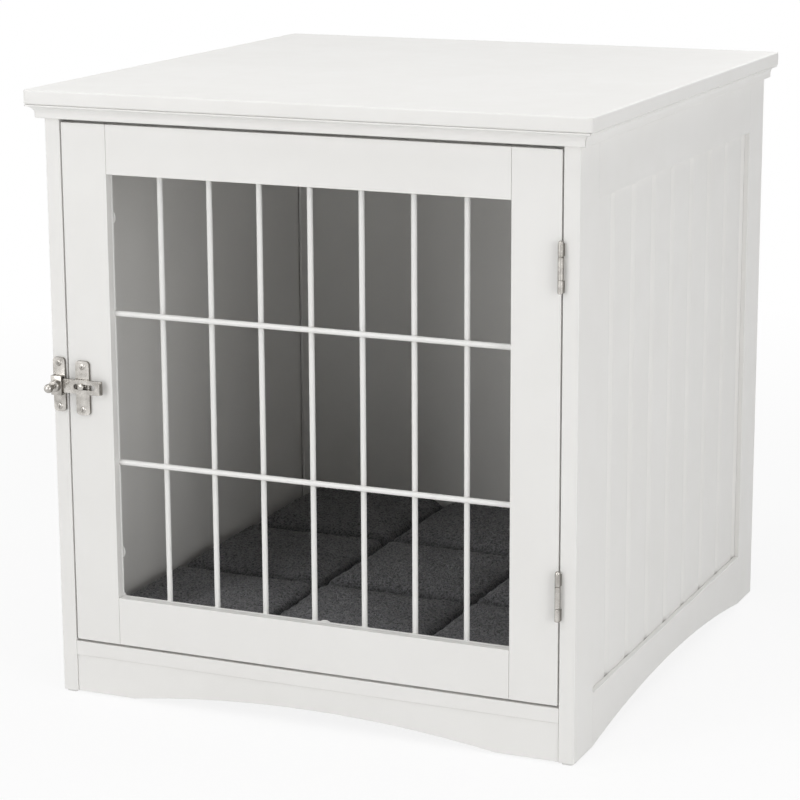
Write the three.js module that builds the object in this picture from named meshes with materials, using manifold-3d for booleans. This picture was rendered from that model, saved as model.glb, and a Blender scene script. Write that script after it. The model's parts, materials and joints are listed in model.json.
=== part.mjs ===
// End table that is also a small dog crate: a painted wooden cabinet with a wire-grille
// door, a slide latch, two butt hinges and a quilted mat on its floor.
// Millimetres. +X is the right-hand side as one faces the door, +Y is the back, +Z is up.
import * as THREE from 'three';
import { mergeVertices } from 'three/addons/utils/BufferGeometryUtils.js';
import Module from 'manifold-3d';

const wasm = await Module();
wasm.setup();

// ---------------------------------------------------------------- driving dimensions

// whole table
const cabinetWidth = 454;
const cabinetDepth = 485;
const tableHeight = 505.5;
const seam = 0.2; // painted butt joint between two wooden members
const fitGap = 0.3; // between a piece and the pocket cut for it
const screwHoleClearance = 0.2; // round a screw or a pin in the hole drilled for it

// table top and the cove moulding under it
const slabThickness = 12;
const slabOverhangSide = 13;
const slabOverhangFront = 11.6;
const slabEdgeRadius = 1.5;
const slabCornerRadius = 3;
const mouldingHeight = 11;
const mouldingFoot = 5.4; // thickness at its lower edge
const coveRadius = 6;
const coveLip = 1.4; // square fillet above the hollow

// side panels: a frame of stiles and rails round a board grooved to look like planks
const sideThickness = 13.1;
const sideStileWidth = 42;
const sideTopRailHeight = 56;
const sideBottomRailHeight = 45;
const sideArchRise = 14.4;
const plankedThickness = 5.5;
const plankedRecess = 4.5; // from the frame's outer face
const plankedTongue = 6; // depth of its edge in the frame's groove
const tongueClearance = 0.2;
const planks = 8; // mock planks between the stiles, each ending in a V-groove
const plankGrooveWidth = 11;
const plankGrooveDepth = 2.8;

// foot glides
const glideHeight = 1.5;
const glideLength = 22;
const glideWidth = 9;
const glideEndInset = 1;

// floor, front apron, back and the hidden rail behind the head of the door
const floorUnderside = 33.5;
const floorThickness = 12;
const apronThickness = 12;
const apronSetback = 1;
const apronEndGap = 1.3;
const apronFootWidth = 52;
const apronArchRise = 12.2;
const backThickness = 12;
const backInset = 10.5;
const headRailHeight = 38;
const headRailThickness = 12;
const headRailClearance = 0.8;
const housingDepth = 5; // how far the boards' ends are let into the side panels
const housingStop = 18; // from the front of the floor to the end of its housing
const floorTongue = 6; // thickness of the floor's end in its housing

// door
const doorThickness = 12;
const doorSideGap = 1.4;
const doorBottomGap = 2;
const doorTopGap = 3;
const doorMemberWidth = 40;
const rabbetSlack = 0.3; // beside the grille's rim wire
const rabbetCornerRadius = 8;

// welded wire grille and the washer-head screws that hold it in the rabbet
const wireDiameter = 4.6;
const wireSides = 10;
const wirePitch = 43.9;
const uprightWires = 7;
const crossWireSpacing = 124;
const crossWires = 2;
const weldSink = 0.4;
const grilleBendRadius = 6;
const grilleScrewHeadRadius = 7.1;
const grilleScrewHeadHeight = 1.8;
const grilleScrewShankRadius = 1.2;
const grilleScrewDepth = 8;
const grilleScrewWall = 0.3; // of wood left between the rabbet and a screw's hole
const grilleScrewSpacing = 279; // between the two on a stile
const grilleScrewWireGap = 0.5; // from the middle wire to the heads on the rails

// butt hinges
const hingeHeight = 38;
const endKnuckle = 10;
const knuckleGap = 0.3;
const barrelRadius = 2.3;
const barrelStandoff = 0.8; // from the door's face to the barrel
const hingePinRadius = 1.2;
const hingePinClearance = 0.15;
const hingePinHead = 1.8;
const leafThickness = 0.6;
const leafWidth = 11;
const hingeFromDoorEnd = 88.4; // to the middle of the hinge
const hingeScrewSpacing = 24;
const hingeScrewHeadRadius = 1.9;
const hingeScrewShankRadius = 0.9;
const hingeScrewLength = 8.5;
const hingeScrewHeadHeight = 0.9;
const hingeScrewFromLeafEdge = 4.6;

// slide latch
const latchHeight = 265; // above the ground
const latchPlateThickness = 1.6;
const latchPlateHeight = 45;
const latchPlateCorner = 3.2;
const cabinetPlateWidth = 11;
const doorPlateWidth = 12.6;
const doorPlateFromDoorEdge = 7.4;
const doorPlateDrop = 1.5;
const latchScrewSpacing = 36;
const latchScrewHeadRadius = 2.7;
const latchScrewHeadHeight = 1.3;
const latchScrewShankRadius = 1.2;
const latchScrewDepth = 9;
const latchBarHeight = 11.6;
const latchBarThickness = 1.8;
const latchBarLength = 35.8;
const latchBarEndCorner = 1.2;
const latchBarStandoff = 2; // from the door plate to the back of the bar
const latchBarPastDoor = 2.8; // how far the drawn bar reaches past the door's edge
const latchSlotLength = 20.2;
const latchSlotHeight = 4.6;
const latchSlotFromLip = 5.7;
const latchLipReach = 3.4; // of the turned-up finger lip, in front of the bar
const latchBendRadius = 1; // outside of the bend into the lip
const latchPostFromDoorEdge = 13.8;
const latchPostRadius = 1.9;
const latchPostHeadRadius = 2.9;
const latchPostHeadHeight = 1.6;
const latchPostShoulderRadius = 3.4;
const latchPostTailRadius = 1.4;
const latchRunClearance = 0.25;
const keeperWidth = 9.6;
const keeperClearance = 0.7; // round the bar, inside the keeper
const knobShankRadius = 1.7;
const knobCollarRadius = 4.8;
const knobCollarHeight = 5;
const knobNeckRadius = 2;
const knobNeckLength = 3.4;
const knobBallRadius = 3.8;

// mat
const matSideGap = 2.5;
const matFrontGap = 16; // behind the door's back face
const matBackGap = 2.5; // before the back panel
const matCells = 3;
const matRimHeight = 10; // of the sewn edge above the floor
const matSeamHeight = 13;
const matCrownHeight = 23;
const matFullness = 0.35; // flattens the top of each cell; 0.5 is a round arc
const matUndersideRise = 1.2; // of the underside next to the rim
const matCornerTuck = 5.4; // how far the corners are rounded in
const matSideDrawIn = 4;
const matScallop = 2; // extra draw-in at each sewn channel
const matCellSteps = 6;
const matLift = 0.3;

// ---------------------------------------------------------------- derived places

const halfWidth = cabinetWidth / 2;
const innerHalf = halfWidth - sideThickness;
const carcassTop = tableHeight - slabThickness;
const floorTop = floorUnderside + floorThickness;
const mouldingBottom = carcassTop - mouldingHeight;
const floorBack = cabinetDepth - backInset;
const headRailFront = doorThickness + headRailClearance;

const doorHalf = innerHalf - doorSideGap;
const doorBottom = floorTop + doorBottomGap;
const doorTop = mouldingBottom - doorTopGap;
const doorMiddle = (doorBottom + doorTop) / 2;
const openingHalf = doorHalf - doorMemberWidth;
const openingBottom = doorBottom + doorMemberWidth;
const openingTop = doorTop - doorMemberWidth;

const barrelX = doorHalf + doorSideGap / 2;
const barrelY = -barrelStandoff - barrelRadius;

const latchPlateFront = -latchPlateThickness;
const barBack = latchPlateFront - latchBarStandoff;
const barFront = barBack - latchBarThickness;
const barLeft = -doorHalf - latchBarPastDoor;
const barRight = barLeft + latchBarLength;
const keeperInner = barFront - keeperClearance;
const keeperFront = keeperInner - latchPlateThickness;
const knobX = -innerHalf - sideThickness / 2;
const knobBallY = keeperFront - fitGap - knobCollarHeight - knobNeckLength - knobBallRadius * 0.8;
const frontReach = knobBallY - knobBallRadius;

// ---------------------------------------------------------------- materials

const finish = (color, roughness, metalness = 0) =>
  new THREE.MeshStandardMaterial({ color, roughness, metalness });
const paint = finish(0xeeeeea, 0.42);
const wireCoat = finish(0xf2f2ef, 0.35);
const nickel = finish(0xb7b1a8, 0.32, 1);
const plush = finish(0x35363a, 0.95);
const nylon = finish(0xd8d6d0, 0.5);

// ---------------------------------------------------------------- shape helpers

const block = (x0, x1, y0, y1, z0, z1) => {
  const geometry = new THREE.BoxGeometry(x1 - x0, y1 - y0, z1 - z0);
  return geometry.translate((x0 + x1) / 2, (y0 + y1) / 2, (z0 + z1) / 2);
};

const alongX = new THREE.Matrix4().makeBasis(
  new THREE.Vector3(0, 1, 0), new THREE.Vector3(0, 0, 1), new THREE.Vector3(1, 0, 0));
const alongY = new THREE.Matrix4().makeBasis(
  new THREE.Vector3(1, 0, 0), new THREE.Vector3(0, 0, 1), new THREE.Vector3(0, -1, 0));

const prism = (shape, depth, curveSegments = 8) =>
  new THREE.ExtrudeGeometry(shape, { depth, bevelEnabled: false, curveSegments });

// the shape is drawn in (x, y), (y, z) or (x, z) and swept along the third axis
const prismZ = (shape, z0, z1, segments) => prism(shape, z1 - z0, segments).translate(0, 0, z0);
const prismX = (shape, x0, x1, segments) =>
  prism(shape, x1 - x0, segments).applyMatrix4(alongX).translate(x0, 0, 0);
const prismY = (shape, y0, y1, segments) =>
  prism(shape, y1 - y0, segments).applyMatrix4(alongY).translate(0, y1, 0);

const polygon = (points) => new THREE.Shape(points.map(([u, v]) => new THREE.Vector2(u, v)));

const roundedRectangle = (u0, u1, v0, v1, radius) => {
  const shape = new THREE.Shape();
  shape.moveTo(u0 + radius, v0);
  shape.lineTo(u1 - radius, v0);
  shape.absarc(u1 - radius, v0 + radius, radius, -Math.PI / 2, 0, false);
  shape.lineTo(u1, v1 - radius);
  shape.absarc(u1 - radius, v1 - radius, radius, 0, Math.PI / 2, false);
  shape.lineTo(u0 + radius, v1);
  shape.absarc(u0 + radius, v1 - radius, radius, Math.PI / 2, Math.PI, false);
  shape.lineTo(u0, v0 + radius);
  shape.absarc(u0 + radius, v0 + radius, radius, Math.PI, Math.PI * 1.5, false);
  return shape;
};

// a solid of revolution about Y from [radius, y] pairs that start and end on the axis
const turned = (profile, sides = 20) =>
  new THREE.LatheGeometry(profile.map(([r, y]) => new THREE.Vector2(r, y)), sides);

const rod = (radius, y0, y1, sides = 16) =>
  turned([[0, y0], [radius, y0], [radius, y1], [0, y1]], sides);

const toSolid = (geometry) => {
  const bare = geometry.clone();
  bare.deleteAttribute('normal');
  bare.deleteAttribute('uv');
  const merged = mergeVertices(bare, 1e-4);
  const index = merged.index.array;
  const triangles = [];
  for (let i = 0; i < index.length; i += 3) {
    const [a, b, c] = [index[i], index[i + 1], index[i + 2]];
    if (a !== b && b !== c && c !== a) triangles.push(a, b, c);
  }
  return new wasm.Manifold(new wasm.Mesh({
    numProp: 3,
    vertProperties: new Float32Array(merged.attributes.position.array),
    triVerts: new Uint32Array(triangles),
  }));
};

const toGeometry = (solid) => {
  const mesh = solid.getMesh();
  const geometry = new THREE.BufferGeometry();
  geometry.setAttribute('position', new THREE.BufferAttribute(new Float32Array(mesh.vertProperties), 3));
  geometry.setIndex(new THREE.BufferAttribute(new Uint32Array(mesh.triVerts), 1));
  geometry.computeVertexNormals();
  return geometry;
};

const cut = (geometry, ...tools) =>
  toGeometry(tools.reduce((solid, tool) => solid.subtract(toSolid(tool)), toSolid(geometry)));
const join = (...geometries) =>
  toGeometry(geometries.map(toSolid).reduce((solid, next) => solid.add(next)));

const table = new THREE.Group();
const add = (name, geometry, material) => {
  const mesh = new THREE.Mesh(geometry, material);
  mesh.name = name;
  table.add(mesh);
  return mesh;
};

// the underside of a board from u0 to u1 with a shallow circular arch between the feet
const archedBoard = (u0, u1, footLeft, footRight, bottom, top, rise) => {
  const half = (footRight - footLeft) / 2;
  const middle = (footLeft + footRight) / 2;
  const radius = (half * half + rise * rise) / (2 * rise);
  const centre = bottom + rise - radius;
  const sweep = Math.asin(half / radius);
  const shape = new THREE.Shape();
  shape.moveTo(u0, top);
  shape.lineTo(u0, bottom);
  if (footLeft > u0) shape.lineTo(footLeft, bottom);
  shape.absarc(middle, centre, radius, Math.PI / 2 + sweep, Math.PI / 2 - sweep, true);
  if (footRight < u1) shape.lineTo(u1, bottom);
  shape.lineTo(u1, top);
  return shape;
};

// ---------------------------------------------------------------- table top and moulding

function tableTop() {
  const x = halfWidth + slabOverhangSide - slabEdgeRadius;
  const outline = roundedRectangle(
    -x, x, -slabOverhangFront + slabEdgeRadius, cabinetDepth - slabEdgeRadius,
    slabCornerRadius - slabEdgeRadius);
  const slab = new THREE.ExtrudeGeometry(outline, {
    depth: slabThickness - 2 * slabEdgeRadius,
    bevelThickness: slabEdgeRadius,
    bevelSize: slabEdgeRadius,
    bevelSegments: 2,
    curveSegments: 3,
  });
  add('table_top', toGeometry(toSolid(slab.translate(0, 0, carcassTop + slabEdgeRadius))), paint);
}

// (out, up) section of the moulding: its back is against the cabinet, its top under the slab
const mouldingSection = () => {
  const shape = new THREE.Shape();
  const out = mouldingFoot + coveRadius;
  shape.moveTo(0, 0);
  shape.lineTo(mouldingFoot, 0);
  shape.lineTo(mouldingFoot, mouldingHeight - coveLip - coveRadius);
  shape.absarc(out, mouldingHeight - coveLip - coveRadius, coveRadius, Math.PI, Math.PI / 2, true);
  shape.lineTo(out, mouldingHeight);
  shape.lineTo(0, mouldingHeight);
  return shape;
};

// slides the ends of a prism along its length in proportion to how far out each point is
const mitre = (geometry, length, startMitred, endMitred) => {
  const position = geometry.attributes.position;
  for (let i = 0; i < position.count; i++) {
    const out = position.getX(i);
    const along = position.getZ(i);
    if (along < length / 2 && startMitred) position.setZ(i, along - out);
    if (along > length / 2 && endMitred) position.setZ(i, along + out);
  }
  return geometry;
};

function mouldings() {
  const frontRun = cabinetWidth - 2 * seam;
  const front = mitre(prism(mouldingSection(), frontRun, 6), frontRun, true, true);
  front.applyMatrix4(new THREE.Matrix4().makeBasis(
    new THREE.Vector3(0, -1, 0), new THREE.Vector3(0, 0, 1), new THREE.Vector3(-1, 0, 0)));
  add('moulding_front', front.translate(frontRun / 2, -seam, mouldingBottom), paint);

  const sideRun = cabinetDepth;
  const left = mitre(prism(mouldingSection(), sideRun, 6), sideRun, true, false);
  left.applyMatrix4(new THREE.Matrix4().makeBasis(
    new THREE.Vector3(-1, 0, 0), new THREE.Vector3(0, 0, 1), new THREE.Vector3(0, 1, 0)));
  add('moulding_left', left.translate(-halfWidth - seam, 0, mouldingBottom), paint);

  const right = mitre(prism(mouldingSection(), sideRun, 6), sideRun, false, true);
  right.applyMatrix4(new THREE.Matrix4().makeBasis(
    new THREE.Vector3(1, 0, 0), new THREE.Vector3(0, 0, 1), new THREE.Vector3(0, -1, 0)));
  add('moulding_right', right.translate(halfWidth + seam, sideRun, mouldingBottom), paint);
}

// ---------------------------------------------------------------- side panels

// plan of the grooved board as (x, y) points, its outer face first
function plankedOutline(y0, y1) {
  const face = halfWidth - plankedRecess;
  const between = cabinetDepth - 2 * sideStileWidth;
  const points = [[face - plankedThickness, y0], [face, y0]];
  for (let plank = 1; plank <= planks; plank++) {
    const grooveEnd = sideStileWidth + (between * plank) / planks;
    points.push([face, grooveEnd - plankGrooveWidth]);
    points.push([face - plankGrooveDepth, grooveEnd - plankGrooveWidth / 2]);
    points.push([face, grooveEnd]);
  }
  return [...points, [face, y1], [face - plankedThickness, y1]];
}

// stopped grooves in the inner face of a side panel for the floor, back and head rail
function housings() {
  const depth = innerHalf + housingDepth + fitGap;
  const tongueTop = floorUnderside + floorTongue;
  return [
    block(innerHalf - 1, depth, housingStop, floorBack + tongueClearance,
      floorUnderside - tongueClearance, tongueTop + tongueClearance),
    block(innerHalf - 1, depth, floorBack - backThickness - tongueClearance, floorBack + tongueClearance,
      floorUnderside - tongueClearance, carcassTop + 1),
    block(innerHalf - 1, depth, headRailFront - tongueClearance,
      headRailFront + headRailThickness + tongueClearance,
      carcassTop - headRailHeight - tongueClearance, carcassTop + 1),
  ];
}

function sidePanel(side, sign) {
  const x0 = innerHalf;
  const x1 = halfWidth;
  const bottom = glideHeight;
  const railFront = sideStileWidth + seam;
  const railBack = cabinetDepth - sideStileWidth - seam;
  const openBottom = bottom + sideBottomRailHeight;
  const openTop = carcassTop - sideTopRailHeight;

  const grooveX0 = x1 - plankedRecess - plankedThickness - tongueClearance;
  const grooveX1 = x1 - plankedRecess + tongueClearance;
  const tongue = plankedTongue + fitGap;
  const groove = block(grooveX0, grooveX1, sideStileWidth - tongue, cabinetDepth - sideStileWidth + tongue,
    openBottom - tongue, openTop + tongue);
  const joinery = [groove, ...housings()];

  const mirrored = (geometry) => {
    if (sign > 0) return geometry;
    const solid = toSolid(geometry).mirror([1, 0, 0]);
    return toGeometry(solid);
  };
  const place = (name, geometry) => add(`${side}_${name}`, mirrored(geometry), paint);

  const frontHoles = sign > 0 ? hingeScrewHoles() : latchScrewHoles();
  place('front_stile',
    cut(block(x0, x1, 0, sideStileWidth, bottom, carcassTop), ...joinery, ...frontHoles));
  place('back_stile',
    cut(block(x0, x1, cabinetDepth - sideStileWidth, cabinetDepth, bottom, carcassTop), ...joinery));
  place('top_rail', cut(block(x0, x1, railFront, railBack, openTop, carcassTop), groove));
  const arched = archedBoard(railFront, railBack, railFront, railBack, bottom, openBottom, sideArchRise);
  place('bottom_rail', cut(prismX(arched, x0, x1, 24), ...joinery));

  const boardFront = sideStileWidth - plankedTongue;
  const board = polygon(plankedOutline(boardFront, cabinetDepth - boardFront));
  place('planked_panel', prismZ(board, openBottom - plankedTongue, openTop + plankedTongue));

  for (const [end, y] of [['front', glideEndInset], ['back', cabinetDepth - glideEndInset - glideLength]]) {
    const middle = (x0 + x1) / 2;
    const pad = roundedRectangle(middle - glideWidth / 2, middle + glideWidth / 2, y, y + glideLength, 2);
    add(`${side}_${end}_glide`, mirrored(prismZ(pad, 0, glideHeight, 3)), nylon);
  }
}

// ---------------------------------------------------------------- floor, apron, back, head rail

function carcassBoards() {
  const boardHalf = innerHalf - seam / 2;
  const housedHalf = innerHalf + housingDepth;
  const tongueFront = housingStop + fitGap;
  add('floor_board', join(
    block(-boardHalf, boardHalf, 0, floorBack, floorUnderside, floorTop),
    block(-housedHalf, housedHalf, tongueFront, floorBack - seam,
      floorUnderside, floorUnderside + floorTongue)), paint);

  const apronHalf = innerHalf - apronEndGap;
  const apron = archedBoard(-apronHalf, apronHalf, -apronHalf + apronFootWidth, apronHalf - apronFootWidth,
    glideHeight, floorUnderside - seam, apronArchRise);
  add('front_apron', prismY(apron, apronSetback, apronSetback + apronThickness, 24), paint);

  add('back_panel', block(-housedHalf, housedHalf, floorBack - backThickness, floorBack,
    floorTop + seam, carcassTop), paint);
  add('head_rail', block(-housedHalf, housedHalf, headRailFront, headRailFront + headRailThickness,
    carcassTop - headRailHeight, carcassTop), paint);
}

// ---------------------------------------------------------------- door frame and grille

const rabbetDepth = wireDiameter;
const rabbetWidth = wireDiameter + rabbetSlack;
const grilleScrewEdge = rabbetWidth + grilleScrewWall + grilleScrewShankRadius + screwHoleClearance;
const grilleScrewBesideWire = wireDiameter / 2 + grilleScrewWireGap + grilleScrewHeadRadius;

const grilleScrews = [
  ['upper_left', -openingHalf - grilleScrewEdge, doorMiddle + grilleScrewSpacing / 2],
  ['lower_left', -openingHalf - grilleScrewEdge, doorMiddle - grilleScrewSpacing / 2],
  ['upper_right', openingHalf + grilleScrewEdge, doorMiddle + grilleScrewSpacing / 2],
  ['lower_right', openingHalf + grilleScrewEdge, doorMiddle - grilleScrewSpacing / 2],
  ['top', grilleScrewBesideWire, openingTop + grilleScrewEdge],
  ['bottom', grilleScrewBesideWire, openingBottom - grilleScrewEdge],
];

function doorFrame() {
  const rabbet = prismY(
    roundedRectangle(-openingHalf - rabbetWidth, openingHalf + rabbetWidth,
      openingBottom - rabbetWidth, openingTop + rabbetWidth, rabbetCornerRadius),
    doorThickness - rabbetDepth, doorThickness + 1, 5);
  const screwHoles = grilleScrews.map(([, x, z]) =>
    rod(grilleScrewShankRadius + screwHoleClearance, doorThickness - grilleScrewDepth - fitGap,
      doorThickness + 1, 10).translate(x, 0, z));
  const member = (name, x0, x1, z0, z1, ...holes) =>
    add(name, cut(block(x0, x1, 0, doorThickness, z0, z1), rabbet, ...screwHoles, ...holes), paint);
  member('door_latch_stile', -doorHalf, -openingHalf, doorBottom, doorTop, ...doorPlateScrewHoles());
  member('door_hinge_stile', openingHalf, doorHalf, doorBottom, doorTop, ...doorHingeScrewHoles());
  member('door_top_rail', -openingHalf + seam, openingHalf - seam, openingTop, doorTop);
  member('door_bottom_rail', -openingHalf + seam, openingHalf - seam, doorBottom, openingBottom);
}

// closed loop of round wire along a rounded rectangle in (x, z)
function wireLoop(half, z0, z1, bend, y, radius, sides, cornerSteps = 4) {
  const rings = [];
  const corners = [
    [half - bend, z1 - bend, 0], [-half + bend, z1 - bend, 90],
    [-half + bend, z0 + bend, 180], [half - bend, z0 + bend, 270],
  ];
  for (const [x, z, start] of corners) {
    for (let step = 0; step <= cornerSteps; step++) {
      const turn = THREE.MathUtils.degToRad(start + (90 * step) / cornerSteps);
      rings.push([x, z, Math.cos(turn), Math.sin(turn)]);
    }
  }
  const vertices = [];
  for (const [x, z, outX, outZ] of rings) {
    for (let side = 0; side < sides; side++) {
      const angle = (2 * Math.PI * side) / sides;
      const out = bend + radius * Math.cos(angle);
      vertices.push(x + out * outX, y + radius * Math.sin(angle), z + out * outZ);
    }
  }
  const index = [];
  for (let ring = 0; ring < rings.length; ring++) {
    const next = (ring + 1) % rings.length;
    for (let side = 0; side < sides; side++) {
      const beside = (side + 1) % sides;
      const [a, b] = [ring * sides + side, next * sides + side];
      const [c, d] = [next * sides + beside, ring * sides + beside];
      index.push(a, c, b, a, d, c);
    }
  }
  const geometry = new THREE.BufferGeometry();
  geometry.setAttribute('position', new THREE.Float32BufferAttribute(vertices, 3));
  geometry.setIndex(index);
  return geometry;
}

function grille() {
  const radius = wireDiameter / 2;
  const rimY = doorThickness - radius;
  const rimHalf = openingHalf + radius;
  const rimBottom = openingBottom - radius;
  const rimTop = openingTop + radius;
  const uprightY = rimY + wireDiameter - weldSink;
  const wires = [wireLoop(rimHalf, rimBottom, rimTop, grilleBendRadius, rimY, radius, wireSides)];
  for (let i = 0; i < crossWires; i++) {
    const z = doorMiddle + (i - (crossWires - 1) / 2) * crossWireSpacing;
    wires.push(rod(radius, -rimHalf, rimHalf, wireSides)
      .rotateY(Math.PI / wireSides).rotateZ(-Math.PI / 2).translate(0, rimY, z));
  }
  for (let i = 0; i < uprightWires; i++) {
    const x = (i - (uprightWires - 1) / 2) * wirePitch;
    wires.push(rod(radius, rimBottom - radius / 2, rimTop + radius / 2, wireSides)
      .rotateX(Math.PI / 2).translate(x, uprightY, 0));
  }
  add('door_grille', join(...wires), wireCoat);

  const head = doorThickness + fitGap;
  for (const [place, x, z] of grilleScrews) {
    const screw = turned([
      [0, doorThickness - grilleScrewDepth],
      [grilleScrewShankRadius, doorThickness - grilleScrewDepth],
      [grilleScrewShankRadius, head],
      [grilleScrewHeadRadius, head],
      [grilleScrewHeadRadius, head + grilleScrewHeadHeight * 0.4],
      [grilleScrewHeadRadius * 0.6, head + grilleScrewHeadHeight * 0.85],
      [0, head + grilleScrewHeadHeight],
    ], 12);
    add(`grille_screw_${place}`, screw.translate(x, 0, z), wireCoat);
  }
}

// ---------------------------------------------------------------- hinges

const hingeMiddles = [['upper', doorTop - hingeFromDoorEnd], ['lower', doorBottom + hingeFromDoorEnd]];
const hingeScrewY = leafWidth - hingeScrewFromLeafEdge;
const hingeScrewPlaces = hingeMiddles.flatMap(([which, middle]) =>
  [['top', 0.5], ['bottom', -0.5]].map(([end, share]) => [which, end, middle + share * hingeScrewSpacing]));

// countersunk screw along +X, its flat head at x = 0
const hingeScrew = (grow = 0, head = 0) => turned([
  [0, -head],
  [hingeScrewHeadRadius + grow, -head],
  [hingeScrewHeadRadius + grow, grow],
  [hingeScrewShankRadius + grow, hingeScrewHeadHeight + grow],
  [hingeScrewShankRadius + grow, hingeScrewLength + grow],
  [0, hingeScrewLength + grow],
], 12).rotateZ(-Math.PI / 2);
const leafFace = doorSideGap / 2 - leafThickness; // from the middle of the gap to a leaf's inner face

function hingeScrewHoles() {
  return hingeScrewPlaces.map(([, , z]) =>
    hingeScrew(screwHoleClearance, 1).translate(barrelX + leafFace, hingeScrewY, z));
}

function doorHingeScrewHoles() {
  return hingeScrewPlaces.map(([, , z]) =>
    hingeScrew(screwHoleClearance, 1).rotateZ(Math.PI).translate(barrelX - leafFace, hingeScrewY, z));
}

// one leaf with its knuckles; out is +1 for the leaf on the cabinet and -1 for the one on the door
function hingeLeaf(middle, out, knuckles) {
  const bottom = middle - hingeHeight / 2;
  const near = barrelX + out * leafFace;
  const far = barrelX + out * (leafFace + leafThickness);
  const [x0, x1] = [Math.min(near, far), Math.max(near, far)];
  const solids = [block(x0, x1, fitGap, leafWidth, bottom, bottom + hingeHeight)];
  for (const [low, high] of knuckles) {
    const z0 = bottom + low;
    const z1 = bottom + high;
    solids.push(rod(barrelRadius, z0, z1, 20).rotateX(Math.PI / 2).translate(barrelX, barrelY, 0));
    solids.push(block(x0, x1, barrelY, fitGap + 0.5, z0, z1));
  }
  const bore = rod(hingePinRadius + hingePinClearance, bottom - 1, bottom + hingeHeight + 1, 14)
    .rotateX(Math.PI / 2).translate(barrelX, barrelY, 0);
  const holes = out > 0 ? hingeScrewHoles() : doorHingeScrewHoles();
  return cut(join(...solids), bore, ...holes);
}

function hinges() {
  for (const [which, middle] of hingeMiddles) {
    add(`${which}_hinge_cabinet_leaf`, hingeLeaf(middle, 1, [
      [0, endKnuckle], [hingeHeight - endKnuckle, hingeHeight]]), nickel);
    add(`${which}_hinge_door_leaf`, hingeLeaf(middle, -1, [
      [endKnuckle + knuckleGap, hingeHeight - endKnuckle - knuckleGap]]), nickel);
    const bottom = middle - hingeHeight / 2;
    const top = middle + hingeHeight / 2;
    const pin = turned([
      [0, bottom],
      [hingePinRadius, bottom],
      [hingePinRadius, top + knuckleGap],
      [barrelRadius * 0.95, top + knuckleGap],
      [barrelRadius * 0.6, top + knuckleGap + hingePinHead * 0.8],
      [0, top + knuckleGap + hingePinHead],
    ], 14);
    add(`${which}_hinge_pin`, pin.rotateX(Math.PI / 2).translate(barrelX, barrelY, 0), nickel);
  }
  for (const [which, end, z] of hingeScrewPlaces) {
    add(`${which}_hinge_cabinet_screw_${end}`,
      hingeScrew().translate(barrelX + leafFace, hingeScrewY, z), nickel);
    add(`${which}_hinge_door_screw_${end}`,
      hingeScrew().rotateZ(Math.PI).translate(barrelX - leafFace, hingeScrewY, z), nickel);
  }
}

// ---------------------------------------------------------------- latch

const doorPlateX = -doorHalf + doorPlateFromDoorEdge + doorPlateWidth / 2;
const doorPlateZ = latchHeight - doorPlateDrop;
const cabinetScrewZs = [latchHeight + latchScrewSpacing / 2, latchHeight - latchScrewSpacing / 2];
const doorScrewZs = [doorPlateZ + latchScrewSpacing / 2, doorPlateZ - latchScrewSpacing / 2];

const screwHole = (x, z, depth = latchScrewDepth) =>
  rod(latchScrewShankRadius + screwHoleClearance, latchPlateFront - 1, depth + fitGap, 12)
    .translate(x, 0, z);
// drawn on the right-hand side, like the panel itself, and mirrored with it
const latchScrewHoles = () => cabinetScrewZs.map((z) => screwHole(-knobX, z));
const doorPlateScrewHoles = () => doorScrewZs.map((z) => screwHole(doorPlateX, z));

function latchScrew(name, x, z) {
  const head = latchPlateFront - fitGap;
  const screw = turned([
    [0, head - latchScrewHeadHeight],
    [latchScrewHeadRadius * 0.6, head - latchScrewHeadHeight * 0.85],
    [latchScrewHeadRadius, head - latchScrewHeadHeight * 0.2],
    [latchScrewHeadRadius, head],
    [latchScrewShankRadius, head],
    [latchScrewShankRadius, latchScrewDepth],
    [0, latchScrewDepth],
  ], 12);
  add(name, screw.translate(x, 0, z), nickel);
}

const plate = (x, z, width) => prismY(
  roundedRectangle(x - width / 2, x + width / 2, z - latchPlateHeight / 2, z + latchPlateHeight / 2,
    latchPlateCorner),
  latchPlateFront, 0, 4);

function cabinetPlate() {
  const bridgeHalf = latchBarHeight / 2 + keeperClearance + latchPlateThickness;
  const [x0, x1] = [knobX - keeperWidth / 2, knobX + keeperWidth / 2];
  const bridge = block(x0, x1, keeperFront, latchPlateFront + latchPlateThickness / 2,
    latchHeight - bridgeHalf, latchHeight + bridgeHalf);
  const tunnel = block(x0 - 1, x1 + 1, keeperInner, latchPlateFront,
    latchHeight - bridgeHalf + latchPlateThickness, latchHeight + bridgeHalf - latchPlateThickness);
  const knobHole = rod(knobShankRadius + screwHoleClearance, keeperFront - 1, keeperInner + 1, 16)
    .translate(knobX, 0, latchHeight);
  const body = join(plate(knobX, latchHeight, cabinetPlateWidth), bridge);
  add('latch_cabinet_plate',
    cut(body, tunnel, knobHole, ...cabinetScrewZs.map((z) => screwHole(knobX, z))), nickel);
}

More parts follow.
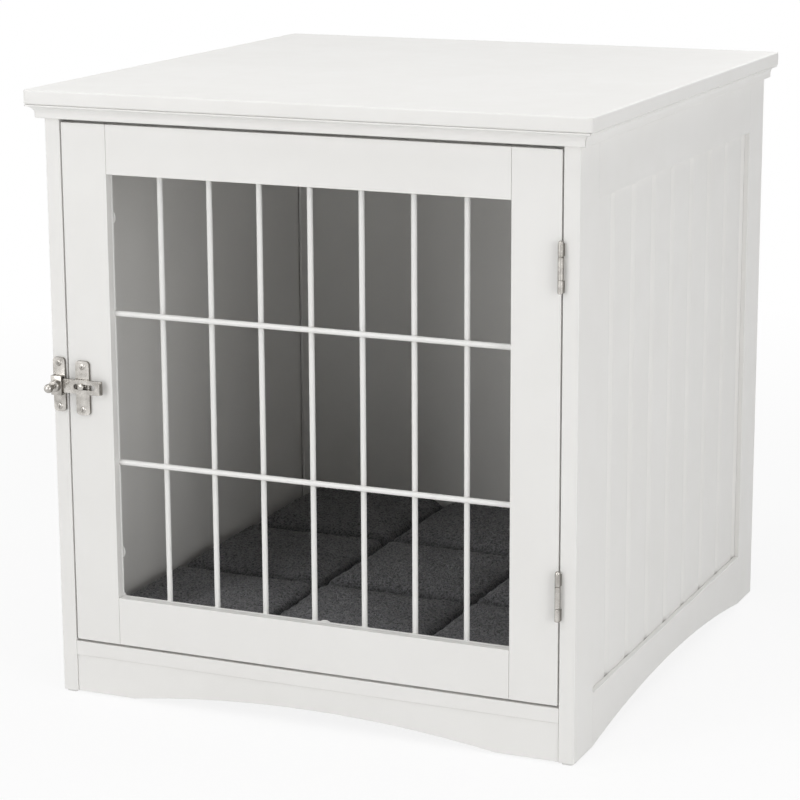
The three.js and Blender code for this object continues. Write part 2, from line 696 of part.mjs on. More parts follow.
function latchBar() {
  const slotRight = barRight - latchSlotFromLip;
  const slotLeft = slotRight - latchSlotLength;
  const [z0, z1] = [latchHeight - latchBarHeight / 2, latchHeight + latchBarHeight / 2];
  const strip = prismY(roundedRectangle(barLeft, barRight, z0, z1, latchBarEndCorner), barFront, barBack, 3);
  const slot = prismY(roundedRectangle(slotLeft, slotRight, latchHeight - latchSlotHeight / 2,
    latchHeight + latchSlotHeight / 2, latchSlotHeight / 2 - 0.01), barFront - 1, barBack + 1, 6);
  const lipSection = new THREE.Shape();
  const lipEnd = latchBarThickness / 2; // round end of the lip
  const inner = barRight - latchBarThickness;
  lipSection.moveTo(inner - latchBarThickness, barBack);
  lipSection.lineTo(barRight - latchBendRadius, barBack);
  lipSection.absarc(barRight - latchBendRadius, barBack - latchBendRadius, latchBendRadius,
    Math.PI / 2, 0, true);
  lipSection.lineTo(barRight, barFront - latchLipReach + lipEnd);
  lipSection.absarc(barRight - lipEnd, barFront - latchLipReach + lipEnd, lipEnd, 0, -Math.PI, true);
  lipSection.lineTo(inner, barFront);
  lipSection.lineTo(inner - latchBarThickness, barFront);
  const lip = prismZ(lipSection, z0 + latchBarEndCorner, z1 - latchBarEndCorner, 4);
  add('latch_bar', cut(join(strip, lip), slot), nickel);
}

function latch() {
  cabinetPlate();
  const postX = -doorHalf + latchPostFromDoorEdge;
  const postHole = rod(latchPostTailRadius + screwHoleClearance, latchPlateFront - 1, 1, 12)
    .translate(postX, 0, latchHeight);
  add('latch_door_plate', cut(plate(doorPlateX, doorPlateZ, doorPlateWidth),
    postHole, ...doorScrewZs.map((z) => screwHole(doorPlateX, z))), nickel);

  const shoulder = barBack + latchRunClearance;
  const underHead = barFront - latchRunClearance;
  const post = turned([
    [0, underHead - latchPostHeadHeight],
    [latchPostHeadRadius * 0.7, underHead - latchPostHeadHeight * 0.9],
    [latchPostHeadRadius, underHead - latchPostHeadHeight * 0.5],
    [latchPostHeadRadius, underHead],
    [latchPostRadius, underHead],
    [latchPostRadius, shoulder],
    [latchPostShoulderRadius, shoulder],
    [latchPostShoulderRadius, latchPlateFront - fitGap / 2],
    [latchPostTailRadius, latchPlateFront - fitGap / 2],
    [latchPostTailRadius, -fitGap / 2],
    [0, -fitGap / 2],
  ], 16);
  add('latch_post', post.translate(postX, 0, latchHeight), nickel);
  latchBar();

  const collarBack = keeperFront - fitGap;
  const collarFront = collarBack - knobCollarHeight;
  const ball = [];
  for (let turn = 180; turn >= 20; turn -= 20) {
    const angle = THREE.MathUtils.degToRad(turn);
    ball.push([knobBallRadius * Math.sin(angle), knobBallY + knobBallRadius * Math.cos(angle)]);
  }
  const knob = turned([
    ...ball.map(([r, y]) => [Math.max(r, 0), y]).filter(([r, y]) => r >= knobNeckRadius || y < knobBallY),
    [knobNeckRadius, knobBallY + knobBallRadius * 0.85],
    [knobNeckRadius, collarFront],
    [knobCollarRadius * 0.75, collarFront],
    [knobCollarRadius, collarFront + knobCollarHeight * 0.35],
    [knobCollarRadius, collarBack],
    [knobShankRadius, collarBack],
    [knobShankRadius, keeperInner - fitGap / 2],
    [0, keeperInner - fitGap / 2],
  ], 16);
  add('latch_knob', knob.translate(knobX, 0, latchHeight), nickel);

  latchScrew('latch_cabinet_screw_top', knobX, cabinetScrewZs[0]);
  latchScrew('latch_cabinet_screw_bottom', knobX, cabinetScrewZs[1]);
  latchScrew('latch_door_screw_top', doorPlateX, doorScrewZs[0]);
  latchScrew('latch_door_screw_bottom', doorPlateX, doorScrewZs[1]);
}

// ---------------------------------------------------------------- mat

// quilted pad: sewn rim, puffed cells between sewn channels, sides drawn in between its corners
function mat() {
  const steps = matCells * matCellSteps;
  const half = innerHalf - matSideGap;
  const front = doorThickness + matFrontGap;
  const back = floorBack - backThickness - matBackGap;
  const middleY = (front + back) / 2;
  const halfDepth = (back - front) / 2;
  const base = floorTop + matLift;

  // place of grid line k on the pad, -1 to 1, with the lines closer together beside the channels
  const place = (k) => {
    const cell = Math.floor(k / matCellSteps);
    const turn = (Math.PI * (k % matCellSteps)) / matCellSteps;
    return (2 * (cell + (1 - Math.cos(turn)) / 2)) / matCells - 1;
  };
  // 0 at a channel or the rim, 1 in the middle of a cell
  const swell = (k) => Math.sin((Math.PI * (k % matCellSteps)) / matCellSteps) ** 2;
  const drawIn = (t) => matSideDrawIn * (1 - t * t)
    + matScallop * (1 - Math.abs(Math.sin((matCells * Math.PI * (t + 1)) / 2)));
  const outline = (s, t) => {
    const tuck = matCornerTuck * Math.abs(s * t) ** 10;
    return [
      s * (half - Math.abs(s) * drawIn(t) - tuck),
      middleY + t * (halfDepth - Math.abs(t) * drawIn(s) - tuck),
    ];
  };

  const vertices = [];
  const topIndex = [];
  const bottomIndex = [];
  for (let j = 0; j <= steps; j++) {
    for (let i = 0; i <= steps; i++) {
      const [x, y] = outline(place(i), place(j));
      const fromRim = Math.min(i, j, steps - i, steps - j);
      const puff = (swell(i) * swell(j)) ** matFullness;
      const top = fromRim === 0 ? matRimHeight : matSeamHeight + (matCrownHeight - matSeamHeight) * puff;
      topIndex.push(vertices.length / 3);
      vertices.push(x, y, base + top);
      if (fromRim === 0) {
        bottomIndex.push(topIndex.at(-1));
      } else {
        bottomIndex.push(vertices.length / 3);
        vertices.push(x, y, base + (fromRim === 1 ? matUndersideRise : 0));
      }
    }
  }
  const index = [];
  for (let j = 0; j < steps; j++) {
    for (let i = 0; i < steps; i++) {
      const [a, b] = [j * (steps + 1) + i, j * (steps + 1) + i + 1];
      const [c, d] = [b + steps + 1, a + steps + 1];
      for (const [p, q, r] of [[a, b, c], [a, c, d]]) {
        index.push(topIndex[p], topIndex[q], topIndex[r]);
        index.push(bottomIndex[p], bottomIndex[r], bottomIndex[q]);
      }
    }
  }
  const geometry = new THREE.BufferGeometry();
  geometry.setAttribute('position', new THREE.Float32BufferAttribute(vertices, 3));
  geometry.setIndex(index);
  geometry.computeVertexNormals();
  add('crate_mat', geometry, plush);
}

// ---------------------------------------------------------------- assembly

tableTop();
mouldings();
sidePanel('left', -1);
sidePanel('right', 1);
carcassBoards();
doorFrame();
grille();
hinges();
latch();
mat();

// the origin is on the ground, under the middle of the table's full depth
table.position.y = -(cabinetDepth + frontReach) / 2;

export default table;
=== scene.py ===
"""Looks of an end table that is also a small dog crate: white painted wood, a white wire
grille, satin nickel hardware and a charcoal quilted mat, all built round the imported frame.
Lengths are metres; MM turns millimetres into them."""
import json
import math

import bmesh
import bpy
import numpy as np
from mathutils import Matrix, Vector, noise


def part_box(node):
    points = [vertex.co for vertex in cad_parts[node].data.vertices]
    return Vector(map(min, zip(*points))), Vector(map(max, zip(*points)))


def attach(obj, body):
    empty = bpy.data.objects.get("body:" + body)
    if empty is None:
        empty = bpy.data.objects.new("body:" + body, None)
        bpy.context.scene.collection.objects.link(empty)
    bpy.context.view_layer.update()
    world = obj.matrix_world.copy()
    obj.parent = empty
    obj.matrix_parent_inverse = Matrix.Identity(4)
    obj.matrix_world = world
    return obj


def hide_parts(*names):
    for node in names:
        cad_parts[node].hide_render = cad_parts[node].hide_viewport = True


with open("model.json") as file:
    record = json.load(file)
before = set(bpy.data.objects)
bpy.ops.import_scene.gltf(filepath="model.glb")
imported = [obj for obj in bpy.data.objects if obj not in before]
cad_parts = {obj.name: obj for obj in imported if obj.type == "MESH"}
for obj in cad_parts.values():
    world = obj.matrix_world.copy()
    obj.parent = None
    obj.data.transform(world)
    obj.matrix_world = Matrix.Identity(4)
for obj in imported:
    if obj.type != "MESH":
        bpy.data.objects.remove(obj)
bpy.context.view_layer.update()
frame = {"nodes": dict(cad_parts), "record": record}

MM = 0.001
nodes = frame["nodes"]
body_of = {n: b for b, names in frame["record"]["behaviour"]["bodies"].items() for n in names}
slot_of = {s["node"]: s["material_slot"] for s in frame["record"]["subparts"]}


# ---------------------------------------------------------------- camera

PICTURE_SIDE = 800
FOCAL_PIXELS = 2651.5
SENSOR_WIDTH = 36.0
CLIP_END = 50
EYE = Vector((0.8767, -2.0535, 0.7502))
YAW = 23.571
PITCH = 13.343
ROLL = -0.261


def add_camera():
    data = bpy.data.cameras.new("camera")
    data.sensor_width = SENSOR_WIDTH
    data.lens = FOCAL_PIXELS * SENSOR_WIDTH / PICTURE_SIDE
    data.clip_end = CLIP_END
    camera = bpy.data.objects.new("camera", data)
    turn = Matrix.Rotation(math.radians(YAW), 4, "Z")
    tilt = Matrix.Rotation(math.radians(90 - PITCH), 4, "X")
    roll = Matrix.Rotation(math.radians(ROLL), 4, "Z")
    camera.matrix_world = Matrix.Translation(EYE) @ turn @ tilt @ roll
    bpy.context.scene.collection.objects.link(camera)
    bpy.context.scene.camera = camera


# ---------------------------------------------------------------- shader values

class Value:
    """A shader socket; arithmetic on it adds Math nodes to its tree."""

    def __init__(self, tree, socket):
        self.tree = tree
        self.socket = socket

    def other(self, output):
        """Another output of the same node."""
        return Value(self.tree, self.socket.node.outputs[output])

    def __add__(self, other):
        return self.tree.math("ADD", self, other)

    def __sub__(self, other):
        return self.tree.math("SUBTRACT", self, other)

    def __rsub__(self, other):
        return self.tree.math("SUBTRACT", other, self)

    def __mul__(self, other):
        return self.tree.math("MULTIPLY", self, other)

    __radd__ = __add__
    __rmul__ = __mul__


class ShaderTree:
    """The node tree of a material or of the world; node() adds every node to it."""

    def __init__(self, tree):
        self.nodes = tree.nodes
        self.links = tree.links

    def feed(self, node, inputs):
        for key, value in inputs.items():
            if isinstance(value, Value):
                self.links.new(value.socket, node.inputs[key])
            else:
                node.inputs[key].default_value = value

    def node(self, kind, inputs, output=0, **settings):
        made = self.nodes.new("ShaderNode" + kind)
        for key, value in settings.items():
            setattr(made, key, value)
        self.feed(made, inputs)
        return Value(self, made.outputs[output]) if made.outputs else None

    def math(self, operation, *terms):
        return self.node("Math", dict(enumerate(terms)), operation=operation)

    def mixed(self, share, first, second):
        return self.node("MixShader", {0: share, 1: first, 2: second})

    def shows_background(self):
        """1 for rays from the camera and for rays that metal or glass send on, else 0."""
        camera = self.node("LightPath", {}, "Is Camera Ray")
        sent_on = self.math("MAXIMUM", camera, camera.other("Is Glossy Ray"))
        return self.math("MAXIMUM", sent_on, camera.other("Is Transmission Ray"))


class Finish(ShaderTree):
    """One procedural material, read at object coordinates."""

    def __init__(self, name):
        self.material = bpy.data.materials.new(name)
        self.material.use_nodes = True
        super().__init__(self.material.node_tree)
        self.surface = self.nodes["Principled BSDF"]
        self.place = self.node("TexCoord", {}, "Object")

    def noise(self, scale, detail=2.0, place=None):
        return self.node("TexNoise", {"Vector": place or self.place, "Scale": scale,
                                      "Detail": detail})

    def stretched(self, scale):
        return self.node("Mapping", {"Vector": self.place, "Scale": scale})

    def between(self, value, low, high, to_low=0.0, to_high=1.0):
        """Carries value from the range low..high to to_low..to_high, and clamps it there."""
        return self.node("MapRange", {"Value": value, "From Min": low, "From Max": high,
                                      "To Min": to_low, "To Max": to_high})

    def blend(self, share, first, second):
        return self.node("Mix", {"Factor": share, "A": (*first, 1), "B": (*second, 1)},
                         "Result", data_type="RGBA")

    def relief(self, height, depth, under=None):
        inputs = {"Height": height, "Distance": depth}
        if under:
            inputs["Normal"] = under
        return self.node("Bump", inputs)

    def wear(self, **inputs):
        """Sets or links sockets of the surface shader, named with _ for a space."""
        self.feed(self.surface, {key.replace("_", " "): value for key, value in inputs.items()})
        return self


def paint():
    """Sprayed satin paint: faint orange peel, an uneven gloss and the least mottling."""
    f = Finish("white_paint")
    mottle = f.between(f.noise(11, 3), 0.35, 0.65)
    peel = f.relief(f.noise(900), 0.012 * MM, f.relief(f.noise(35, 1), 0.10 * MM))
    return f.wear(Base_Color=f.blend(mottle, (0.848, 0.838, 0.815), (0.868, 0.859, 0.838)),
                  Roughness=f.between(f.noise(60, 3), 0.3, 0.7, 0.36, 0.47), Normal=peel)


def wire_coat():
    """Powder coat: glossier than the wood, with a fine texture."""
    f = Finish("white_wire")
    return f.wear(Base_Color=f.blend(f.noise(40), (0.862, 0.855, 0.835), (0.888, 0.882, 0.866)),
                  Roughness=f.between(f.noise(300), 0.3, 0.7, 0.28, 0.38),
                  Normal=f.relief(f.noise(1400), 0.02 * MM))


def satin_nickel():
    """Nickel plate on steel: drawing lines, stains, a few pits, and painted shade that darkens each
    face the more it turns from front or back.
    """
    f = Finish("satin_nickel")
    # Painted shade: the colour falls to 0.3 of itself on faces whose normal lies across the Y axis,
    # so sides and rims look shaded.
    out = f.node("TexCoord", {}, "Normal")
    painted_facing_light = f.math("ABSOLUTE", f.node("VectorMath", {0: out, 1: (0, 1, 0)}, "Value",
                                       operation="DOT_PRODUCT"))
    lines = f.noise(1500, 3, f.stretched((1, 1, 0.04)))
    stain = f.between(f.noise(130, 4), 0.32, 0.68)
    pits = f.between(f.noise(900, 1), 0.62, 0.70)
    # Random stains, times the painted shade from each face's turn.
    shade = (stain * 0.5 + 0.5) * (painted_facing_light * 0.7 + 0.3)
    return f.wear(Base_Color=f.blend(shade, (0.13, 0.12, 0.105), (0.64, 0.615, 0.58)),
                  Metallic=1.0,
                  Roughness=f.between(lines, 0.3, 0.7, 0.20, 0.34) + pits * 0.12,
                  Normal=f.relief(lines, 0.006 * MM, f.relief(pits, -0.01 * MM)))


def plush():
    """Short charcoal pile, broken up by fine tufts, with painted shade in its low points and, mixed
    with pressed-flat pile, in its sewn channels.
    """
    f = Finish("charcoal_plush")
    # Painted shade: the lower a point of the pile, the darker its colour.
    height = f.node("Attribute", {}, "Fac", attribute_name="pile")
    tufts = f.between(f.noise(520, 3), 0.36, 0.64)
    patches = f.between(f.noise(26, 2), 0.3, 0.7)
    # Sewn channels darker: partly pile pressed flat, partly painted shade in the narrow grooves.
    crush_and_seam_shade = f.node("Attribute", {}, "Fac", attribute_name="crush_and_seam_shade")
    shade = (height * 0.30 + tufts * 0.58 + patches * 0.12) * (1 - crush_and_seam_shade * 0.8)
    return f.wear(Base_Color=f.blend(shade, (0.034, 0.034, 0.037), (0.345, 0.346, 0.362)),
                  Roughness=0.95, Specular_IOR_Level=0.12, Sheen_Weight=0.25, Sheen_Roughness=0.5,
                  Normal=f.relief(tufts, 1.1 * MM))


def nylon():
    """Moulded glide, faintly grained."""
    f = Finish("nylon")
    return f.wear(Base_Color=f.blend(f.noise(200), (0.72, 0.715, 0.70), (0.78, 0.775, 0.76)),
                  Roughness=0.5, Normal=f.relief(f.noise(900), 0.02 * MM))


materials = {slot: finish().material for slot, finish in (
    ("white_paint", paint), ("white_wire", wire_coat), ("satin_nickel", satin_nickel),
    ("charcoal_plush", plush), ("nylon", nylon))}


# ---------------------------------------------------------------- mesh helpers

SHARP_ANGLE = math.radians(32)
LONGEST_CURVE = 0.45  # share of a profile's side that the curve at its corner may take


def link_mesh(name, mesh):
    piece = bpy.data.objects.new(name, mesh)
    bpy.context.scene.collection.objects.link(piece)
    return piece


def from_bmesh(name, bm):
    bmesh.ops.recalc_face_normals(bm, faces=bm.faces)
    mesh = bpy.data.meshes.new(name)
    bm.to_mesh(mesh)
    bm.free()
    return link_mesh(name, mesh)


def baked(piece):
    """Applies a piece's modifiers by taking its evaluated mesh."""
    graph = bpy.context.evaluated_depsgraph_get()
    mesh = bpy.data.meshes.new_from_object(piece.evaluated_get(graph))
    piece.modifiers.clear()
    piece.data = mesh
    return piece


def shaded(piece, weighted=False):
    piece.data.polygons.foreach_set("use_smooth", [True] * len(piece.data.polygons))
    piece.data.set_sharp_from_angle(angle=SHARP_ANGLE)
    if weighted:
        modifier = piece.modifiers.new("weights", "WEIGHTED_NORMAL")
        modifier.keep_sharp = True
        baked(piece)
    return piece


def stands_for(piece, node):
    """The finished piece takes a CAD node's place, body and finish."""
    piece.data.materials.clear()
    piece.data.materials.append(materials[slot_of[node]])
    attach(piece, body_of[node])
    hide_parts(node)


def middle_of(node):
    low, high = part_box(node)
    return (low + high) / 2


# turns that carry a profile drawn up the Z axis onto another axis
ALONG = {
    "+X": Matrix(((0, 0, 1), (1, 0, 0), (0, 1, 0))),
    "-X": Matrix(((0, 0, -1), (1, 0, 0), (0, -1, 0))),
    "+Y": Matrix(((-1, 0, 0), (0, 0, 1), (0, 1, 0))),
    "-Y": Matrix(((1, 0, 0), (0, 0, -1), (0, 1, 0))),
    "+Z": Matrix.Identity(3),
}


def lathe(bm, profile, origin, axis, sides=48):
    """Adds a solid of revolution from (radius, height) pairs; a zero radius closes an end."""
    rings = []
    for radius, height in profile:
        count = sides if radius > 0 else 1
        turns = [2 * math.pi * k / sides for k in range(count)]
        rings.append([bm.verts.new(origin + ALONG[axis] @ Vector(
            (radius * math.cos(turn), radius * math.sin(turn), height))) for turn in turns])
    join_rings(bm, rings)


def join_rings(bm, rings):
    for first, second in zip(rings, rings[1:]):
        for k in range(max(len(first), len(second))):
            corners = [first[k % len(first)], first[(k + 1) % len(first)],
                       second[(k + 1) % len(second)], second[k % len(second)]]
            bm.faces.new(list(dict.fromkeys(corners)))


def softened(profile, radius, steps=3):
    """Replaces each inner corner of a profile by a small curve."""
    points = [Vector(p) for p in profile]
    result = [tuple(points[0])]
    for before, corner, after in zip(points, points[1:], points[2:]):
        shorter = min((before - corner).length, (after - corner).length)
        reach = min(radius, LONGEST_CURVE * shorter)
        start = corner + (before - corner).normalized() * reach
        end = corner + (after - corner).normalized() * reach
        for k in range(steps + 1):
            t = k / steps
            result.append(tuple(start * (1 - t) ** 2 + corner * 2 * t * (1 - t) + end * t ** 2))
    return result + [tuple(points[-1])]


def soft_box(bm, low, high, ease):
    """Adds a box with rounded edges."""
    corners = bmesh.ops.create_cube(bm, size=1.0)["verts"]
    bmesh.ops.scale(bm, vec=high - low, verts=corners)
    bmesh.ops.translate(bm, vec=(low + high) / 2, verts=corners)
    edges = list(dict.fromkeys(e for v in corners for e in v.link_edges))
    bmesh.ops.bevel(bm, geom=edges, offset=ease, segments=2, affect="EDGES", profile=0.5)


def cut_by(piece, cutter):
    modifier = piece.modifiers.new("cut", "BOOLEAN")
    modifier.operation = "DIFFERENCE"
    modifier.solver = "EXACT"
    modifier.use_self = True
    modifier.object = cutter
    baked(piece)
    bpy.data.objects.remove(cutter)
    return piece


# ---------------------------------------------------------------- wood, plates and glides

CREASE = math.radians(24)
FLAT = math.radians(0.4)
SAME_POINT = 1e-6
SAME_PLANE = 0.5 * MM
WOOD_EASE, WOOD_SHORTEST = 0.45 * MM, 5 * MM
GLIDE_EASE, GLIDE_SHORTEST = 0.3 * MM, 0.4 * MM
PLATE_EASE, PLATE_SHORTEST = 0.22 * MM, 1.2 * MM
PLATE_BUILD = 0.8 * MM
APRON_REACH = 1.0 * MM


def eased(node, width, shortest, weighted=True, crisp=None):
    """A copy of a CAD solid with its long sharp edges rounded over, but for those
    at the distance crisp from the middle of the cabinet, to either side."""
    bm = bmesh.new()
    bm.from_mesh(nodes[node].data)
    bmesh.ops.remove_doubles(bm, verts=bm.verts, dist=SAME_POINT)
    bmesh.ops.dissolve_limit(bm, angle_limit=FLAT, verts=bm.verts, edges=bm.edges)
    sharp = [e for e in bm.edges if len(e.link_faces) == 2 and e.calc_length() > shortest
             and e.calc_face_angle() > CREASE]
    if crisp is not None:
        sharp = [e for e in sharp if any(abs(abs(v.co.x) - crisp) > SAME_PLANE for v in e.verts)]
    bmesh.ops.bevel(bm, geom=sharp, offset=width, segments=2, profile=0.5, affect="EDGES",
                    clamp_overlap=False)
    return shaded(from_bmesh(node + "_eased", bm), weighted)


def push_face(piece, axis, face, ease, step):
    """Moves a flat face of an eased piece, with its rounded edges, along an axis."""
    for vertex in piece.data.vertices:
        if abs(vertex.co[axis] - face) < 1.5 * ease:
            vertex.co[axis] += step


def wood():
    """The painted members. Paint closes the joint round the planked boards, and most of
    the gap at the apron's ends."""
    board_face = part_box("right_planked_panel")[1].x
    apron_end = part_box("front_apron")[1].x
    for node in [n for n, slot in slot_of.items() if slot == "white_paint"]:
        framed = node.endswith(("_stile", "_rail")) and node.startswith(("left_", "right_"))
        piece = eased(node, WOOD_EASE, WOOD_SHORTEST, crisp=board_face if framed else None)
        if node == "front_apron":
            for side in (-1, 1):
                push_face(piece, 0, side * apron_end, WOOD_EASE, side * APRON_REACH)
        stands_for(piece, node)


def glides():
    for node in [n for n, slot in slot_of.items() if slot == "nylon"]:
        stands_for(eased(node, GLIDE_EASE, GLIDE_SHORTEST), node)


def latch_plates():
    """The plates' faces stand a little further out than their solids' do, up to the screw heads."""
    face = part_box("latch_door_plate")[0].y
    for node in ("latch_cabinet_plate", "latch_door_plate", "latch_bar"):
        piece = eased(node, PLATE_EASE, PLATE_SHORTEST, weighted=False)
        if node != "latch_bar":
            push_face(piece, 1, face, PLATE_EASE, -PLATE_BUILD)
        stands_for(piece, node)


# ---------------------------------------------------------------- grille

WIRE_SIDES = 20
RIM_STEPS = 8
RIM_BEND = 6 * MM
WELD_SINK = 0.4 * MM
WIRE_PITCH = 43.9 * MM
UPRIGHTS = 7
CROSS_SPACING = 124 * MM
CROSS_WIRES = 2


def wire_row_tree():
    """Geometry Nodes: a row of straight wires, by count, pitch, length and radius."""
    tree = bpy.data.node_groups.new("wire_row", "GeometryNodeTree")
    interface = tree.interface
    interface.new_socket("Geometry", in_out="INPUT", socket_type="NodeSocketGeometry")
    for name, kind in (("Count", "Int"), ("Pitch", "Vector"), ("Start", "Vector"),
                       ("Run", "Vector"), ("Radius", "Float"), ("Finish", "Material")):
        interface.new_socket(name, in_out="INPUT", socket_type="NodeSocket" + kind)
    interface.new_socket("Geometry", in_out="OUTPUT", socket_type="NodeSocketGeometry")

    def add(kind, **links):
        made = tree.nodes.new(kind)
        for key, socket in links.items():
            tree.links.new(socket, made.inputs[key.replace("_", " ")])
        return made

    given = tree.nodes.new("NodeGroupInput").outputs
    row = add("GeometryNodeMeshLine", Count=given["Count"], Start_Location=given["Start"],
              Offset=given["Pitch"])
    line = add("GeometryNodeCurvePrimitiveLine", End=given["Run"])
    circle = add("GeometryNodeCurvePrimitiveCircle", Radius=given["Radius"])
    circle.inputs["Resolution"].default_value = WIRE_SIDES
    tube = add("GeometryNodeCurveToMesh", Curve=line.outputs[0], Profile_Curve=circle.outputs[0])
    tube.inputs["Fill Caps"].default_value = True
    copies = add("GeometryNodeInstanceOnPoints", Points=row.outputs[0], Instance=tube.outputs[0])
    solid = add("GeometryNodeRealizeInstances", Geometry=copies.outputs[0])
    coat = add("GeometryNodeSetMaterial", Geometry=solid.outputs[0], Material=given["Finish"])
    add("NodeGroupOutput", Geometry=coat.outputs[0])
    return tree


def wire_row(bm, tree, **inputs):
    """Adds one row of wires to bm."""
    piece = link_mesh("wires", bpy.data.meshes.new("wires"))
    modifier = piece.modifiers.new("wires", "NODES")
    modifier.node_group = tree
    identifiers = {item.name: item.identifier for item in tree.interface.items_tree
                   if item.in_out == "INPUT"}
    for key, value in inputs.items():
        modifier[identifiers[key]] = value
    piece.update_tag()
    bm.from_mesh(baked(piece).data)
    bpy.data.objects.remove(piece)


def rim_wire(bm, half, bottom, top, y, radius):
    """Adds the bent rectangle of wire round the grille."""
    rings = []
    corners = ((1, top - RIM_BEND, 0), (-1, top - RIM_BEND, 90),
               (-1, bottom + RIM_BEND, 180), (1, bottom + RIM_BEND, 270))
    for side, z, start in corners:
        bend = Vector((side * (half - RIM_BEND), y, z))
        for step in range(RIM_STEPS + 1):
            turn = math.radians(start + 90 * step / RIM_STEPS)
            out = Vector((math.cos(turn), 0, math.sin(turn)))
            angles = [2 * math.pi * k / WIRE_SIDES for k in range(WIRE_SIDES)]
            rings.append([bm.verts.new(bend + out * (RIM_BEND + radius * math.cos(a))
                                       + Vector((0, radius * math.sin(a), 0))) for a in angles])
    join_rings(bm, rings + rings[:1])


WELD_SIZE = Vector((2.9, 1.5, 2.7)) * MM


def weld(bm, point):
    """Adds a flattened blob of weld where two wires cross."""
    blob = bmesh.ops.create_icosphere(bm, subdivisions=2, radius=1.0)["verts"]
    bmesh.ops.scale(bm, vec=WELD_SIZE, verts=blob)
    bmesh.ops.translate(bm, vec=point, verts=blob)


def grille():
    """Uprights over cross wires and a bent rim, with a weld at each crossing."""
    low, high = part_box("door_grille")
    radius = (high.y - low.y + WELD_SINK) / 4
    rim_y = low.y + radius
    upright_y = high.y - radius
    half = high.x - radius
    bottom, top = low.z + radius, high.z - radius
    middle = (bottom + top) / 2
    upright_xs = [(i - (UPRIGHTS - 1) / 2) * WIRE_PITCH for i in range(UPRIGHTS)]
    cross_zs = [middle + (i - (CROSS_WIRES - 1) / 2) * CROSS_SPACING for i in range(CROSS_WIRES)]

    bm = bmesh.new()
    tree = wire_row_tree()
    coat = materials["white_wire"]
    wire_row(bm, tree, Count=UPRIGHTS, Pitch=(WIRE_PITCH, 0, 0), Radius=radius, Finish=coat,
             Start=(upright_xs[0], upright_y, low.z + radius / 2),
             Run=(0, 0, high.z - low.z - radius))
    wire_row(bm, tree, Count=CROSS_WIRES, Pitch=(0, 0, CROSS_SPACING), Radius=radius, Finish=coat,
             Start=(-half, rim_y, cross_zs[0]), Run=(2 * half, 0, 0))
    rim_wire(bm, half, bottom, top, rim_y, radius)
    for x in upright_xs:
        for z in (bottom, *cross_zs, top):
            weld(bm, Vector((x, (rim_y + upright_y) / 2, z)))
    stands_for(shaded(from_bmesh("door_grille_wires", bm)), "door_grille")


# ---------------------------------------------------------------- screws

RECESS_SIDES = ((1, 1), (-1, 1), (-1, -1), (1, -1))
RECESS_TOP, RECESS_FOOT, RECESS_NARROWEST = 1.3, 0.35, 0.6  # shares of its size at the surface
SCREW_SHANK = 1.2 * MM
HINGE_SCREW_SHANK = 0.9 * MM
WASHER_HEAD = 1.8 * MM
PAN_HEAD = 1.3 * MM
FLAT_HEAD = 0.9 * MM
# reach, width and depth of a cross recess
WASHER_RECESS = (1.7 * MM, 0.7 * MM, 0.9 * MM)
PAN_RECESS = (1.5 * MM, 0.75 * MM, 0.8 * MM)
FLAT_RECESS = (1.1 * MM, 0.5 * MM, 0.5 * MM)


def cross_recess(piece, origin, axis, reach, width, depth):
    """Cuts a tapering cross-head recess in a screw head that faces along axis."""
    bm = bmesh.new()
    for half_u, half_v in ((reach, width / 2), (width / 2, reach)):
        rings = []
        for height, share in ((depth, RECESS_TOP), (-depth, RECESS_FOOT)):
            size = Vector((half_u * share, half_v * max(share, RECESS_NARROWEST), height))
            rings.append([bm.verts.new(origin + ALONG[axis] @ Vector(
                (u * size.x, v * size.y, size.z))) for u, v in RECESS_SIDES])
        join_rings(bm, rings)
        bm.faces.new(rings[0])
        bm.faces.new(rings[1])
    return cut_by(piece, from_bmesh("recess", bm))


def screw(node, axis, profile, head_z, recess, sides=48):
    """Turns a screw from its profile, whose zero height is at the node's end of the shank."""
    low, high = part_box(node)
    origin = middle_of(node)
    place = "XYZ".index(axis[1])
    origin[place] = low[place] if axis[0] == "+" else high[place]
    bm = bmesh.new()
    lathe(bm, profile, origin, axis, sides)
    piece = from_bmesh(node + "_turned", bm)
    head = origin + ALONG[axis] @ Vector((0, 0, head_z))
    stands_for(shaded(cross_recess(piece, head, axis, *recess)), node)


def grille_screws():
    """Broad white washer heads on the inner face of the door."""
    for node in [n for n in nodes if n.startswith("grille_screw")]:
        low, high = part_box(node)
        length, radius = high.y - low.y, (high.x - low.x) / 2
        under = length - WASHER_HEAD
        profile = softened([
            (0, 0), (SCREW_SHANK, 0), (SCREW_SHANK, under), (radius, under),
            (radius, under + 0.7 * MM), (radius * 0.62, length - 0.35 * MM),
            (radius * 0.45, length), (0, length)], 0.35 * MM)
        screw(node, "+Y", profile, length, WASHER_RECESS)


def latch_screws():
    """Pan heads with a cross recess on the latch plates."""
    for node in [n for n in nodes if n.startswith("latch_") and "_screw_" in n]:
        low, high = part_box(node)
        length, radius = high.y - low.y, (high.x - low.x) / 2
        under = length - PAN_HEAD
        profile = softened([
            (0, 0), (SCREW_SHANK * 0.4, 0), (SCREW_SHANK, 2 * MM), (SCREW_SHANK, under),
            (radius, under), (radius, under + 0.45 * MM), (radius * 0.72, length - 0.15 * MM),
            (radius * 0.4, length), (0, length)], 0.3 * MM)
        screw(node, "-Y", profile, length, PAN_RECESS)


def hinge_screws():
    """Flat countersunk heads in the hinge leaves."""
    for node in [n for n in nodes if "_hinge_" in n and "_screw_" in n]:
        low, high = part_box(node)
        length, radius = high.x - low.x, (high.z - low.z) / 2
        shank = HINGE_SCREW_SHANK
        profile = [(0, 0), (shank * 0.3, 0), (shank, 1.5 * MM), (shank, length - FLAT_HEAD),
                   (radius, length - 0.02 * MM), (radius * 0.98, length), (0, length)]
        axis = "-X" if "cabinet" in node else "+X"
        screw(node, axis, profile, length, FLAT_RECESS, sides=32)


# ---------------------------------------------------------------- hinges

